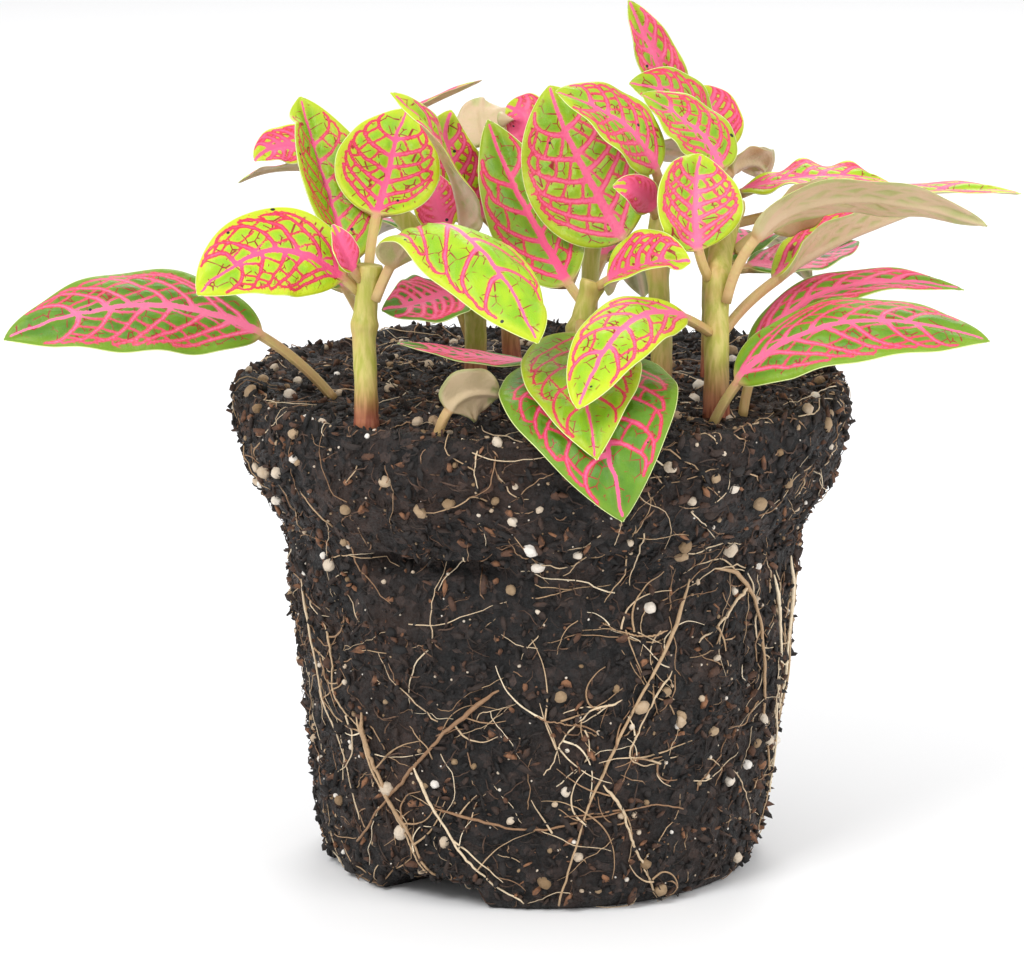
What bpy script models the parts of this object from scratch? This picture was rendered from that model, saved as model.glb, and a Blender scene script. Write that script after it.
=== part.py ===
"""Nerve plant (Fittonia) lifted from its nursery pot: a pot-shaped root ball, nine shoots and their leaves.

Frame: the origin is the centre of the root ball's flat bottom, +Z is up and -Y is the plant's front.
All the values below are in millimetres, and the meshes are made in metres.
"""
import math

import bmesh
import bpy
import numpy as np

MM = 0.001

# Root ball: the inside of a 4 inch nursery pot, with the step under its collar.
COLLAR_RADIUS = 50.0
NECK_RADIUS = 42.4
FOOT_RADIUS = 36.0
BALL_HEIGHT = 81.0
SOIL_LEVEL = 79.3
STEP_LOW, STEP_HIGH = 57.0, 70.0
BALL_SEGMENTS = 48

# Leaves: one thickness for the blade and its stalk, and the shape of a blade's outline.
LEAF_THICKNESS = 0.6
STALK_HALF = 0.8
TIP_HALF = 0.25
OUTLINE_POWER = 1.35
BLADE_STATIONS = 6
HALF_COLUMNS = 2
LEAST_LEAN = 0.55         # how far a stalk leans out from its stem at least, as a sine
GAP = 0.3                 # clearance between a leaf's foot or a stem's foot and what carries it

# Materials: base colour, roughness
MATERIALS = {
    "potting_mix": ((0.028, 0.020, 0.016), 0.95),
    "young_leaf": ((0.42, 0.62, 0.03), 0.42),
    "mature_leaf": ((0.07, 0.30, 0.03), 0.45),
    "stem": ((0.42, 0.33, 0.13), 0.55),
}

# Shoots: the middle line of each stem, from the soil up, and its radius.
STEM_FOOT = SOIL_LEVEL + GAP
STEMS = {
    "stem_left": ([(-28, -31, STEM_FOOT), (-28, -31, 85), (-28.5, -29, 92), (-28, -28, 98), (-27.5, -28, 104)], 2.0),
    "stem_middle": ([(-11, 6.5, STEM_FOOT), (-11, 6.5, 84), (-11, 5, 90), (-12, 3, 97), (-12, 2, 104)], 2.0),
    "stem_front": ([(4, -22, STEM_FOOT), (4, -22, 84), (5, -21, 91), (8, -20, 100)], 1.8),
    "stem_centre": ([(19, -17, STEM_FOOT), (19, -17, 84), (19, -15, 93), (18, -12, 104), (20, -9, 115)], 1.9),
    "stem_right": ([(27.5, -25.5, STEM_FOOT), (27.5, -25.5, 86), (27.5, -24, 92), (27.5, -21, 101), (30, -14, 112)], 2.2),
    "stem_back_left": ([(-11, 17, STEM_FOOT), (-11, 17, 83), (-14, 16, 92), (-22, 13, 104), (-32, 10, 116)], 1.6),
    "stem_back": ([(-5, 20, STEM_FOOT), (-6, 20, 95), (-7, 18, 108), (-8, 17, 117)], 1.6),
    "stem_back_right": ([(28, 8, STEM_FOOT), (28, 9, 95), (28, 9, 108), (28, 8, 118)], 1.8),
    "stem_rear": ([(8, 27, STEM_FOOT), (8, 28, 92), (9, 28, 102), (9, 27, 110)], 1.6),
}

LEAF_DEFAULTS = dict(faces_tip=None, stalk=0.12, peak=0.42, fold=(10, 10), cup=-12, ruffle=0.3,
                     slot="young_leaf")
LEAVES = {}


def leaf(name, grows_from, crest, tip, width, faces, **options):
    """Note one leaf. It grows from (stem, height on it) or from a point on the soil.

    Its middle line passes crest halfway and ends at tip. faces is where the upper side looks.
    fold lifts the left and the right half about the middle line, in degrees; cup curls their edges.
    """
    LEAVES["leaf_" + name] = dict(LEAF_DEFAULTS, grows_from=grows_from, crest=crest, tip=tip,
                                  width=width, faces=faces, **options)


def mature(name, grows_from, crest, tip, width, faces, **options):
    """Note one older, darker leaf."""
    leaf(name, grows_from, crest, tip, width, faces, slot="mature_leaf", **options)


def left_shoot():
    leaf("left_side", ("stem_left", 98.5), (-42, -33, 107), (-54, -38, 101), 15, (0.1, -0.85, 0.5),
         fold=(5, 5), stalk=0.06)
    leaf("left_front", ("stem_left", 96), (-15, -37, 112), (-1, -52, 96), 20, (-0.4, 0.6, 0.7),
         faces_tip=(0.15, -0.85, 0.5), fold=(-30, 0), cup=-15, stalk=0.1)
    leaf("left_round", ("stem_left", 100), (-26, -17, 113), (-22, -7, 126), 17, (0, -0.97, 0.25),
         fold=(0, 0), cup=8, stalk=0.33)
    leaf("left_tall", ("stem_left", 96.5), (-35, -14, 115), (-39, -8, 128), 17, (0.1, -0.95, 0.25),
         fold=(62, 0), cup=0, stalk=0.15)
    leaf("left_bud", ("stem_left", 100.5), (-31, -31, 106), (-33, -31, 111), 5, (0.6, -0.8, 0.2),
         fold=(20, 20), ruffle=0.1, stalk=0.1)
    mature("left_shade", ("stem_left", 95), (-35, -14, 103), (-41, -4, 107), 10, (0, -0.6, 0.8), stalk=0.2)


def middle_shoots():
    leaf("middle_folded", ("stem_middle", 101), (-16, -18, 120), (-24, -25, 131), 12, (0.85, 0.1, 0.5),
         faces_tip=(0.7, -0.5, 0.5), fold=(30, 10), stalk=0.08)
    leaf("middle_inner", ("stem_middle", 101), (-17, 3, 108), (-18, 5, 114), 8, (0, -0.95, 0.3), stalk=0.1)
    mature("middle_low", ("stem_middle", 96), (-18, -8, 95), (-26, -12, 94), 12, (0, -0.6, 0.8), stalk=0.15)
    leaf("front_tall", ("stem_front", 96), (-2, -1, 107), (-9, 8, 122), 14, (-0.2, -0.9, 0.4), fold=(20, 0))
    leaf("front_curled", ("stem_front", 98.5), (16, -28, 104), (23, -31, 105), 13, (0, -0.85, 0.5),
         fold=(0, 60), stalk=0.1)
    leaf("front_hanging", ("stem_front", 94), (6, -46, 89), (8, -58, 79), 19, (0, -0.85, 0.5),
         fold=(0, 0), peak=0.35, stalk=0.15)
    mature("front_largest", ("stem_front", 89), (8, -49, 85), (12, -57, 69), 28, (0, -0.6, 0.8),
           faces_tip=(0.1, -0.9, 0.4), fold=(0, 0), peak=0.33)
    mature("front_flat", ("stem_front", 87), (-10, -27, 89), (-23, -30, 92), 9, (0, -0.1, 1),
           fold=(5, 5), ruffle=0.1, stalk=0.2)


def centre_shoot():
    leaf("centre_large", ("stem_centre", 100), (8, -8, 113), (1, -2, 129), 20, (-0.1, -0.95, 0.3),
         fold=(0, 0), cup=5)
    leaf("centre_top", ("stem_centre", 112), (13, -14, 124), (2, -16, 130), 14, (-0.1, -0.5, 0.85), stalk=0.05)
    leaf("centre_small", ("stem_centre", 108), (15, -17, 114), (11, -18, 115), 6, (0, -0.9, 0.4),
         ruffle=0.1, stalk=0.1)


def right_shoot():
    leaf("right_top", ("stem_right", 112), (25, -7, 122), (16, -4, 128), 12, (0.2, -0.5, 0.85), stalk=0.05)
    leaf("right_round", ("stem_right", 98), (24, -22, 110), (25, -16, 120), 15.5, (0, -0.97, 0.2),
         fold=(35, 5), cup=5, stalk=0.18)
    leaf("right_front", ("stem_right", 92), (14, -43, 98), (5, -58, 87), 12, (-0.1, -0.75, 0.65),
         fold=(0, 0), peak=0.5, stalk=0.15)
    leaf("right_arched", ("stem_right", 94), (42, -24, 113), (70, -26, 110), 13, (-0.2, 0.55, 0.8), stalk=0.2)
    leaf("right_folded", ("stem_right", 91.5), (42, -11, 102), (63, -6, 110), 13, (-0.3, 0.1, 0.95),
         fold=(50, 45), stalk=0.3)
    leaf("right_inner", ("stem_right", 103), (38, -14, 109), (49, -10, 113), 11, (-0.4, 0.75, 0.5), stalk=0.3)


def back_shoots():
    leaf("far_left", ("stem_back_left", 115), (-42, 6, 118), (-47, 3, 116), 8, (0, -0.75, 0.65), stalk=0.1)
    leaf("far_left_low", ("stem_back_left", 113), (-43, 8, 114), (-50, 6, 112), 7, (0, 0.25, 0.95), stalk=0.1)
    leaf("back_blade", ("stem_back_left", 116), (-23, 7, 123), (-10, 6, 129), 6, (0, 0.05, 1),
         ruffle=0.1, stalk=0.2)
    leaf("back_left_top", ("stem_back_left", 112), (-27, 24, 117), (-20, 32, 117), 10, (-0.1, 0.8, 0.5),
         stalk=0.1)
    mature("back_left_low", ("stem_back_left", 98), (-26, 28, 102), (-36, 38, 92), 12, (-0.2, 0.4, 0.9),
           stalk=0.1)
    leaf("back_pale", ("stem_back", 114), (-10, 24, 120), (-10, 27, 123), 10, (0, 0.95, 0.3),
         fold=(0, 0), stalk=0.1)
    leaf("back_crown", ("stem_back", 116), (-3, 15, 121), (-6, 18, 123), 9, (0, -0.9, 0.4), stalk=0.1)
    leaf("back_upright", ("stem_back", 101), (-15, 11, 114), (-15, 13, 123), 11, (0, -0.95, 0.3), stalk=0.1)
    mature("back_low", ("stem_back", 98), (-12, 36, 106), (-16, 50, 98), 12, (0, 0.5, 0.9))
    leaf("rear_middle", ("stem_rear", 102), (9, 42, 108), (10, 55, 98), 13, (0, 0.5, 0.9))
    leaf("rear_left", ("stem_rear", 107), (-1, 35, 115), (-12, 42, 114), 11, (-0.1, 0.6, 0.8))
    leaf("rear_right", ("stem_rear", 106), (20, 33, 113), (32, 40, 108), 12, (0.1, 0.5, 0.9))
    mature("rear_low", ("stem_rear", 90), (14, 44, 96), (18, 56, 84), 13, (0.1, 0.5, 0.9), stalk=0.15)


def back_right_shoot():
    leaf("crown", ("stem_back_right", 114.5), (22, 2, 126), (14, 1, 129), 11, (0, -0.7, 0.7), stalk=0.1)
    leaf("spike", ("stem_back_right", 113), (19, 8, 131), (14, 4, 142), 8, (0.3, -0.9, 0.3),
         fold=(20, 20), stalk=0.2)
    leaf("back_right_top", ("stem_back_right", 111), (28, 14, 122), (25, 17, 126), 10, (0.2, -0.9, 0.3),
         stalk=0.1)
    leaf("back_right_wavy", ("stem_back_right", 108), (43, 5, 113), (57, 6, 112), 11, (0, -0.22, 0.97),
         ruffle=0.9, stalk=0.1)
    leaf("far_right", ("stem_back_right", 104), (56, 6, 110), (78, 1, 111), 10, (0, -0.1, 1), stalk=0.15)
    leaf("back_right_pale", ("stem_back_right", 111), (34, 14, 114), (37, 18, 112), 8, (0, 0.8, 0.6),
         stalk=0.1)
    mature("back_right_shade", ("stem_back_right", 97), (43, 14, 98), (53, 20, 100), 11, (0, -0.3, 0.95),
           stalk=0.15)
    leaf("back_right_rear", ("stem_back_right", 107), (33, 24, 113), (38, 35, 108), 11, (0.1, 0.8, 0.5))
    mature("back_right_low", ("stem_back_right", 92), (36, 26, 100), (46, 36, 90), 12, (0.3, 0.4, 0.9),
           stalk=0.15)


def leaves_from_the_soil():
    mature("low_left", (-34.5, -10, STEM_FOOT + GAP), (-57, -16, 95), (-86, -22, 91), 17, (0, -0.6, 0.8),
           fold=(-12, 0), cup=-10, ruffle=0.5, stalk=0.26)
    mature("low_front", (-16.5, -40, STEM_FOOT), (-13, -40, 85), (-7, -38, 85), 10, (-0.2, 0.9, 0.3),
           fold=(0, 0), stalk=0.3)
    mature("low_right", (27, -30, STEM_FOOT), (43, -33, 95), (70, -34, 93), 16, (0, -0.5, 0.85),
           fold=(-8, -8), stalk=0.14)
    mature("low_right_back", (32, -22, STEM_FOOT), (43, -14, 96), (68, -10, 97), 10, (0, -0.3, 0.95),
           stalk=0.14)


def unit(vector):
    return vector / np.maximum(np.linalg.norm(vector, axis=-1, keepdims=True), 1e-9)


def stem_point(stem, height):
    """The point of a stem's middle line at a height."""
    path = np.array(STEMS[stem][0], float)
    return np.array([np.interp(height, path[:, 2], path[:, k]) for k in range(3)])


def leaf_foot(spec):
    """Where a leaf's middle line starts: on the soil, or just off the wall of its stem."""
    if len(spec["grows_from"]) == 3:
        return np.array(spec["grows_from"], float)
    stem, height = spec["grows_from"]
    start, tip = stem_point(stem, height), np.array(spec["tip"], float)
    heading = unit(2 * np.array(spec["crest"], float) - (start + tip) / 2 - start)
    along = unit(stem_point(stem, height + 1) - stem_point(stem, height - 1))
    across = heading - (heading @ along) * along
    lean = max(np.linalg.norm(across), LEAST_LEAN)
    away = unit(unit(across) * lean + along * (heading @ along))
    return start + away * (STEMS[stem][1] + GAP + LEAF_THICKNESS / 2) / lean


def middle_line(foot, crest, tip, share):
    """Point and direction on the curve foot-crest-tip at shares of its length."""
    pull = 2 * crest - (foot + tip) / 2

    def at(u):
        u = u[..., None]
        point = (1 - u) ** 2 * foot + 2 * u * (1 - u) * pull + u ** 2 * tip
        return point, unit((1 - u) * (pull - foot) + u * (tip - pull))

    steps = np.linspace(0, 1, 41)
    pieces = np.linalg.norm(np.diff(at(steps)[0], axis=0), axis=1)
    run = np.concatenate([[0], np.cumsum(pieces)])
    return at(np.interp(share, run / run[-1], steps))


def blade_outline(along, peak):
    """Half width of a blade, as a share of its largest, from its base at 0 to its tip at 1."""
    before, after = OUTLINE_POWER * peak, OUTLINE_POWER * (1 - peak)
    return along ** before * (1 - along) ** after / (peak ** before * (1 - peak) ** after)


def leaf_surface(spec, share, side):
    """The leaf's middle surface: share runs from foot to tip, side from -1 (left) to 1 (right)."""
    share, side = np.broadcast_arrays(share, side)
    crest, tip = np.array(spec["crest"], float), np.array(spec["tip"], float)
    middle, forward = middle_line(leaf_foot(spec), crest, tip, share)
    faces, faces_tip = unit(np.array(spec["faces"], float)), spec["faces_tip"] or spec["faces"]
    looks = faces + (unit(np.array(faces_tip, float)) - faces) * share[..., None]
    up = unit(looks - (looks * forward).sum(-1, keepdims=True) * forward)
    right = np.cross(forward, up)

    along = np.clip((share - spec["stalk"]) / (1 - spec["stalk"]), 0, 1)
    widest = spec["width"] / 2
    edge = np.maximum(widest * blade_outline(along, spec["peak"]), np.where(along < 0.5, STALK_HALF, TIP_HALF))
    reach = np.abs(side) * edge
    opens = np.clip(along * 5, 0, 1) * np.clip((1 - along) * 6, 0.3, 1)
    fold = np.radians(np.where(side > 0, spec["fold"][1], spec["fold"][0])) * opens
    angle = fold + np.radians(spec["cup"]) * opens * reach / widest / 2
    wave = np.sin(6 * math.pi * along + (side > 0) * 1.3) * np.clip(along * 4, 0, 1) * np.clip((1 - along) * 4, 0, 1)
    out = np.sign(side) * reach * np.cos(angle)
    lift = reach * np.sin(angle) + spec["ruffle"] * side ** 2 * wave
    return middle + right * out[..., None] + up * lift[..., None]


def principled(name):
    colour, roughness = MATERIALS[name]
    material = bpy.data.materials.new(name)
    material.use_nodes = True
    shader = material.node_tree.nodes["Principled BSDF"]
    shader.inputs["Base Color"].default_value = (*colour, 1.0)
    shader.inputs["Roughness"].default_value = roughness
    shader.inputs["Metallic"].default_value = 0.0
    return material


def place(name, data, material, collection):
    item = bpy.data.objects.new(name, data)
    data.materials.append(material)
    collection.objects.link(item)
    return item


def make_root_ball(material, collection):
    """A turned profile, from the middle of the soil over the collar down to the flat foot."""
    profile = [(0, SOIL_LEVEL), (COLLAR_RADIUS - 4.5, SOIL_LEVEL), (COLLAR_RADIUS - 1.6, BALL_HEIGHT),
               (COLLAR_RADIUS - 0.2, BALL_HEIGHT - 1.5), (COLLAR_RADIUS, 75.5), (COLLAR_RADIUS - 1.6, STEP_HIGH - 2),
               (COLLAR_RADIUS - 3.8, 63.5), (NECK_RADIUS + 1.3, 60), (NECK_RADIUS, STEP_LOW), (39.8, 33),
               (FOOT_RADIUS + 1.2, 11), (FOOT_RADIUS + 0.2, 3.5), (FOOT_RADIUS - 1, 0.8), (FOOT_RADIUS - 2.2, 0), (0, 0)]
    mesh = bpy.data.meshes.new("root_ball")
    bm = bmesh.new()
    rim = [bm.verts.new((r * MM, 0, z * MM)) for r, z in profile]
    for first, second in zip(rim, rim[1:]):
        bm.edges.new((first, second))
    bm.to_mesh(mesh)
    bm.free()
    ball = place("root_ball", mesh, material, collection)
    screw = ball.modifiers.new("turn", "SCREW")
    screw.steps = screw.render_steps = BALL_SEGMENTS
    screw.use_merge_vertices = True
    screw.merge_threshold = 0.00005
    screw.use_smooth_shade = True


def make_stem(name, path, radius, material, collection):
    curve = bpy.data.curves.new(name, "CURVE")
    curve.dimensions = "3D"
    curve.bevel_depth = radius * MM
    curve.bevel_resolution = 2
    curve.use_fill_caps = True
    spline = curve.splines.new("POLY")
    spline.points.add(len(path) - 1)
    for point, place_mm in zip(spline.points, path):
        point.co = (*(value * MM for value in place_mm), 1.0)
    place(name, curve, material, collection)


def make_leaf(name, spec, material, collection):
    """A grid laid on the leaf's surface and thickened."""
    rows, columns = BLADE_STATIONS + 2, 2 * HALF_COLUMNS + 1
    spacing = 0.5 - 0.5 * np.cos(math.pi * np.linspace(0, 1, BLADE_STATIONS + 1))
    share = np.concatenate([[0], spec["stalk"] + (1 - spec["stalk"]) * spacing])
    points = leaf_surface(spec, share[:, None], np.linspace(-1, 1, columns)[None, :]) * MM
    bm = bmesh.new()
    bmesh.ops.create_grid(bm, x_segments=rows - 1, y_segments=columns - 1, size=0.5)
    for vert in bm.verts:
        row = round((vert.co.x + 0.5) * (rows - 1))
        column = round((vert.co.y + 0.5) * (columns - 1))
        vert.co = points[row, column]
    mesh = bpy.data.meshes.new(name)
    bm.to_mesh(mesh)
    bm.free()
    mesh.shade_smooth()
    thicken = place(name, mesh, material, collection).modifiers.new("thickness", "SOLIDIFY")
    thicken.thickness = LEAF_THICKNESS * MM
    thicken.offset = 0


def main():
    for item in list(bpy.data.objects):
        bpy.data.objects.remove(item, do_unlink=True)
    collection = bpy.data.collections.new("nerve_plant")
    bpy.context.scene.collection.children.link(collection)
    materials = {name: principled(name) for name in MATERIALS}
    for note_leaves in (left_shoot, middle_shoots, centre_shoot, right_shoot, back_shoots,
                        back_right_shoot, leaves_from_the_soil):
        note_leaves()
    make_root_ball(materials["potting_mix"], collection)
    for name, (path, radius) in STEMS.items():
        make_stem(name, path, radius, materials["stem"], collection)
    for name, spec in LEAVES.items():
        make_leaf(name, spec, materials[spec["slot"]], collection)


main()
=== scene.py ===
"""The looks of a nerve plant (Fittonia) lifted from its nursery pot: veined leaves, stems and root ball.

Shapes are worked out in millimetres, in the frame's own axes, and made in metres. The stems and
leaves repeat the construction's middle lines and outlines, so every piece fills the place of the
solid it replaces.
"""
import math

import bmesh
import bpy
import numpy as np
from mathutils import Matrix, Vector


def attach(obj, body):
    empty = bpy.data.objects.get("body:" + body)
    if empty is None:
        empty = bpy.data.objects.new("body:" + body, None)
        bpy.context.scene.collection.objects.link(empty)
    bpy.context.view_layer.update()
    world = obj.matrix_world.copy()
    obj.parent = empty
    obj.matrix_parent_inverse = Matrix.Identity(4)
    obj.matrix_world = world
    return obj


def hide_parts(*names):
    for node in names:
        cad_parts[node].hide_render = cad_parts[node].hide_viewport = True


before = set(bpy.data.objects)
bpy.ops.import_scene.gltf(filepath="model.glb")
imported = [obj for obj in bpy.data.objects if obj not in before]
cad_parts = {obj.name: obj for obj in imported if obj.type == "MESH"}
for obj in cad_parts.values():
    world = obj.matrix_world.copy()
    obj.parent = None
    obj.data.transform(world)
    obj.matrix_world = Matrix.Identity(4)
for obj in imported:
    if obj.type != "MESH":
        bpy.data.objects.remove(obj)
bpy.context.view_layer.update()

MM = 0.001

# ---- The construction's values ----

COLLAR_RADIUS = 50.0
NECK_RADIUS = 42.4
FOOT_RADIUS = 36.0
BALL_HEIGHT = 81.0
SOIL_LEVEL = 79.3
STEP_LOW, STEP_HIGH = 57.0, 70.0

LEAF_THICKNESS = 0.6
STALK_HALF = 0.8          # least half width of a leaf, nearer its stalk
TIP_HALF = 0.25           # and nearer its tip
OUTLINE_POWER = 1.35      # how blunt both ends of a blade are
LEAST_LEAN = 0.55         # how squarely a stalk has to leave its stem
GAP = 0.3                 # between a leaf or stem and what carries it

STEM_FOOT = SOIL_LEVEL + GAP


def stem(radius, foot, *path):
    """A stem's middle line, which starts at a foot on the soil, and its radius."""
    return [foot + (STEM_FOOT,), *path], radius


STEMS = {
    "stem_left": stem(2.0, (-28, -31), (-28, -31, 85), (-28.5, -29, 92), (-28, -28, 98),
                      (-27.5, -28, 104)),
    "stem_middle": stem(2.0, (-11, 6.5), (-11, 6.5, 84), (-11, 5, 90), (-12, 3, 97), (-12, 2, 104)),
    "stem_front": stem(1.8, (4, -22), (4, -22, 84), (5, -21, 91), (8, -20, 100)),
    "stem_centre": stem(1.9, (19, -17), (19, -17, 84), (19, -15, 93), (18, -12, 104), (20, -9, 115)),
    "stem_right": stem(2.2, (27.5, -25.5), (27.5, -25.5, 86), (27.5, -24, 92), (27.5, -21, 101),
                       (30, -14, 112)),
    "stem_back_left": stem(1.6, (-11, 17), (-11, 17, 83), (-14, 16, 92), (-22, 13, 104), (-32, 10, 116)),
    "stem_back": stem(1.6, (-5, 20), (-6, 20, 95), (-7, 18, 108), (-8, 17, 117)),
    "stem_back_right": stem(1.8, (28, 8), (28, 9, 95), (28, 9, 108), (28, 8, 118)),
    "stem_rear": stem(1.6, (8, 27), (8, 28, 92), (9, 28, 102), (9, 27, 110)),
}

LEAF_DEFAULTS = dict(faces_tip=None, stalk=0.12, peak=0.42, fold=(10, 10), cup=-12, ruffle=0.3,
                     slot="young_leaf")
LEAVES = {}


def leaf(name, grows_from, crest, tip, width, faces, **options):
    """Note one leaf. It grows from (stem, height on it) or from a point on the soil.

    Its middle line passes crest halfway and ends at tip. faces is where the upper side looks.
    fold lifts the left and the right half about the middle line, in degrees; cup curls their edges.
    """
    LEAVES["leaf_" + name] = dict(LEAF_DEFAULTS, grows_from=grows_from, crest=crest, tip=tip,
                                  width=width, faces=faces, **options)


def mature(name, grows_from, crest, tip, width, faces, **options):
    """Note one older, darker leaf."""
    leaf(name, grows_from, crest, tip, width, faces, slot="mature_leaf", **options)


def left_shoot():
    leaf("left_side", ("stem_left", 98.5), (-42, -33, 107), (-54, -38, 101), 15, (0.1, -0.85, 0.5),
         fold=(5, 5), stalk=0.06)
    leaf("left_front", ("stem_left", 96), (-15, -37, 112), (-1, -52, 96), 20, (-0.4, 0.6, 0.7),
         faces_tip=(0.15, -0.85, 0.5), fold=(-30, 0), cup=-15, stalk=0.1)
    leaf("left_round", ("stem_left", 100), (-26, -17, 113), (-22, -7, 126), 17, (0, -0.97, 0.25),
         fold=(0, 0), cup=8, stalk=0.33)
    leaf("left_tall", ("stem_left", 96.5), (-35, -14, 115), (-39, -8, 128), 17, (0.1, -0.95, 0.25),
         fold=(62, 0), cup=0, stalk=0.15)
    leaf("left_bud", ("stem_left", 100.5), (-31, -31, 106), (-33, -31, 111), 5, (0.6, -0.8, 0.2),
         fold=(20, 20), ruffle=0.1, stalk=0.1)
    mature("left_shade", ("stem_left", 95), (-35, -14, 103), (-41, -4, 107), 10, (0, -0.6, 0.8),
           stalk=0.2)


def middle_shoots():
    leaf("middle_folded", ("stem_middle", 101), (-16, -18, 120), (-24, -25, 131), 12, (0.85, 0.1, 0.5),
         faces_tip=(0.7, -0.5, 0.5), fold=(30, 10), stalk=0.08)
    leaf("middle_inner", ("stem_middle", 101), (-17, 3, 108), (-18, 5, 114), 8, (0, -0.95, 0.3),
         stalk=0.1)
    mature("middle_low", ("stem_middle", 96), (-18, -8, 95), (-26, -12, 94), 12, (0, -0.6, 0.8),
           stalk=0.15)
    leaf("front_tall", ("stem_front", 96), (-2, -1, 107), (-9, 8, 122), 14, (-0.2, -0.9, 0.4), fold=(20, 0))
    leaf("front_curled", ("stem_front", 98.5), (16, -28, 104), (23, -31, 105), 13, (0, -0.85, 0.5),
         fold=(0, 60), stalk=0.1)
    leaf("front_hanging", ("stem_front", 94), (6, -46, 89), (8, -58, 79), 19, (0, -0.85, 0.5),
         fold=(0, 0), peak=0.35, stalk=0.15)
    mature("front_largest", ("stem_front", 89), (8, -49, 85), (12, -57, 69), 28, (0, -0.6, 0.8),
           faces_tip=(0.1, -0.9, 0.4), fold=(0, 0), peak=0.33)
    mature("front_flat", ("stem_front", 87), (-10, -27, 89), (-23, -30, 92), 9, (0, -0.1, 1),
           fold=(5, 5), ruffle=0.1, stalk=0.2)


def centre_shoot():
    leaf("centre_large", ("stem_centre", 100), (8, -8, 113), (1, -2, 129), 20, (-0.1, -0.95, 0.3),
         fold=(0, 0), cup=5)
    leaf("centre_top", ("stem_centre", 112), (13, -14, 124), (2, -16, 130), 14, (-0.1, -0.5, 0.85),
         stalk=0.05)
    leaf("centre_small", ("stem_centre", 108), (15, -17, 114), (11, -18, 115), 6, (0, -0.9, 0.4),
         ruffle=0.1, stalk=0.1)


def right_shoot():
    leaf("right_top", ("stem_right", 112), (25, -7, 122), (16, -4, 128), 12, (0.2, -0.5, 0.85),
         stalk=0.05)
    leaf("right_round", ("stem_right", 98), (24, -22, 110), (25, -16, 120), 15.5, (0, -0.97, 0.2),
         fold=(35, 5), cup=5, stalk=0.18)
    leaf("right_front", ("stem_right", 92), (14, -43, 98), (5, -58, 87), 12, (-0.1, -0.75, 0.65),
         fold=(0, 0), peak=0.5, stalk=0.15)
    leaf("right_arched", ("stem_right", 94), (42, -24, 113), (70, -26, 110), 13, (-0.2, 0.55, 0.8),
         stalk=0.2)
    leaf("right_folded", ("stem_right", 91.5), (42, -11, 102), (63, -6, 110), 13, (-0.3, 0.1, 0.95),
         fold=(50, 45), stalk=0.3)
    leaf("right_inner", ("stem_right", 103), (38, -14, 109), (49, -10, 113), 11, (-0.4, 0.75, 0.5),
         stalk=0.3)


def back_shoots():
    leaf("far_left", ("stem_back_left", 115), (-42, 6, 118), (-47, 3, 116), 8, (0, -0.75, 0.65),
         stalk=0.1)
    leaf("far_left_low", ("stem_back_left", 113), (-43, 8, 114), (-50, 6, 112), 7, (0, 0.25, 0.95),
         stalk=0.1)
    leaf("back_blade", ("stem_back_left", 116), (-23, 7, 123), (-10, 6, 129), 6, (0, 0.05, 1),
         ruffle=0.1, stalk=0.2)
    leaf("back_left_top", ("stem_back_left", 112), (-27, 24, 117), (-20, 32, 117), 10, (-0.1, 0.8, 0.5),
         stalk=0.1)
    mature("back_left_low", ("stem_back_left", 98), (-26, 28, 102), (-36, 38, 92), 12, (-0.2, 0.4, 0.9),
           stalk=0.1)
    leaf("back_pale", ("stem_back", 114), (-10, 24, 120), (-10, 27, 123), 10, (0, 0.95, 0.3),
         fold=(0, 0), stalk=0.1)
    leaf("back_crown", ("stem_back", 116), (-3, 15, 121), (-6, 18, 123), 9, (0, -0.9, 0.4), stalk=0.1)
    leaf("back_upright", ("stem_back", 101), (-15, 11, 114), (-15, 13, 123), 11, (0, -0.95, 0.3),
         stalk=0.1)
    mature("back_low", ("stem_back", 98), (-12, 36, 106), (-16, 50, 98), 12, (0, 0.5, 0.9))
    leaf("rear_middle", ("stem_rear", 102), (9, 42, 108), (10, 55, 98), 13, (0, 0.5, 0.9))
    leaf("rear_left", ("stem_rear", 107), (-1, 35, 115), (-12, 42, 114), 11, (-0.1, 0.6, 0.8))
    leaf("rear_right", ("stem_rear", 106), (20, 33, 113), (32, 40, 108), 12, (0.1, 0.5, 0.9))
    mature("rear_low", ("stem_rear", 90), (14, 44, 96), (18, 56, 84), 13, (0.1, 0.5, 0.9), stalk=0.15)


def back_right_shoot():
    leaf("crown", ("stem_back_right", 114.5), (22, 2, 126), (14, 1, 129), 11, (0, -0.7, 0.7), stalk=0.1)
    leaf("spike", ("stem_back_right", 113), (19, 8, 131), (14, 4, 142), 8, (0.3, -0.9, 0.3),
         fold=(20, 20), stalk=0.2)
    leaf("back_right_top", ("stem_back_right", 111), (28, 14, 122), (25, 17, 126), 10, (0.2, -0.9, 0.3),
         stalk=0.1)
    leaf("back_right_wavy", ("stem_back_right", 108), (43, 5, 113), (57, 6, 112), 11, (0, -0.22, 0.97),
         ruffle=0.9, stalk=0.1)
    leaf("far_right", ("stem_back_right", 104), (56, 6, 110), (78, 1, 111), 10, (0, -0.1, 1), stalk=0.15)
    leaf("back_right_pale", ("stem_back_right", 111), (34, 14, 114), (37, 18, 112), 8, (0, 0.8, 0.6),
         stalk=0.1)
    mature("back_right_shade", ("stem_back_right", 97), (43, 14, 98), (53, 20, 100), 11, (0, -0.3, 0.95),
           stalk=0.15)
    leaf("back_right_rear", ("stem_back_right", 107), (33, 24, 113), (38, 35, 108), 11, (0.1, 0.8, 0.5))
    mature("back_right_low", ("stem_back_right", 92), (36, 26, 100), (46, 36, 90), 12, (0.3, 0.4, 0.9),
           stalk=0.15)


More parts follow.
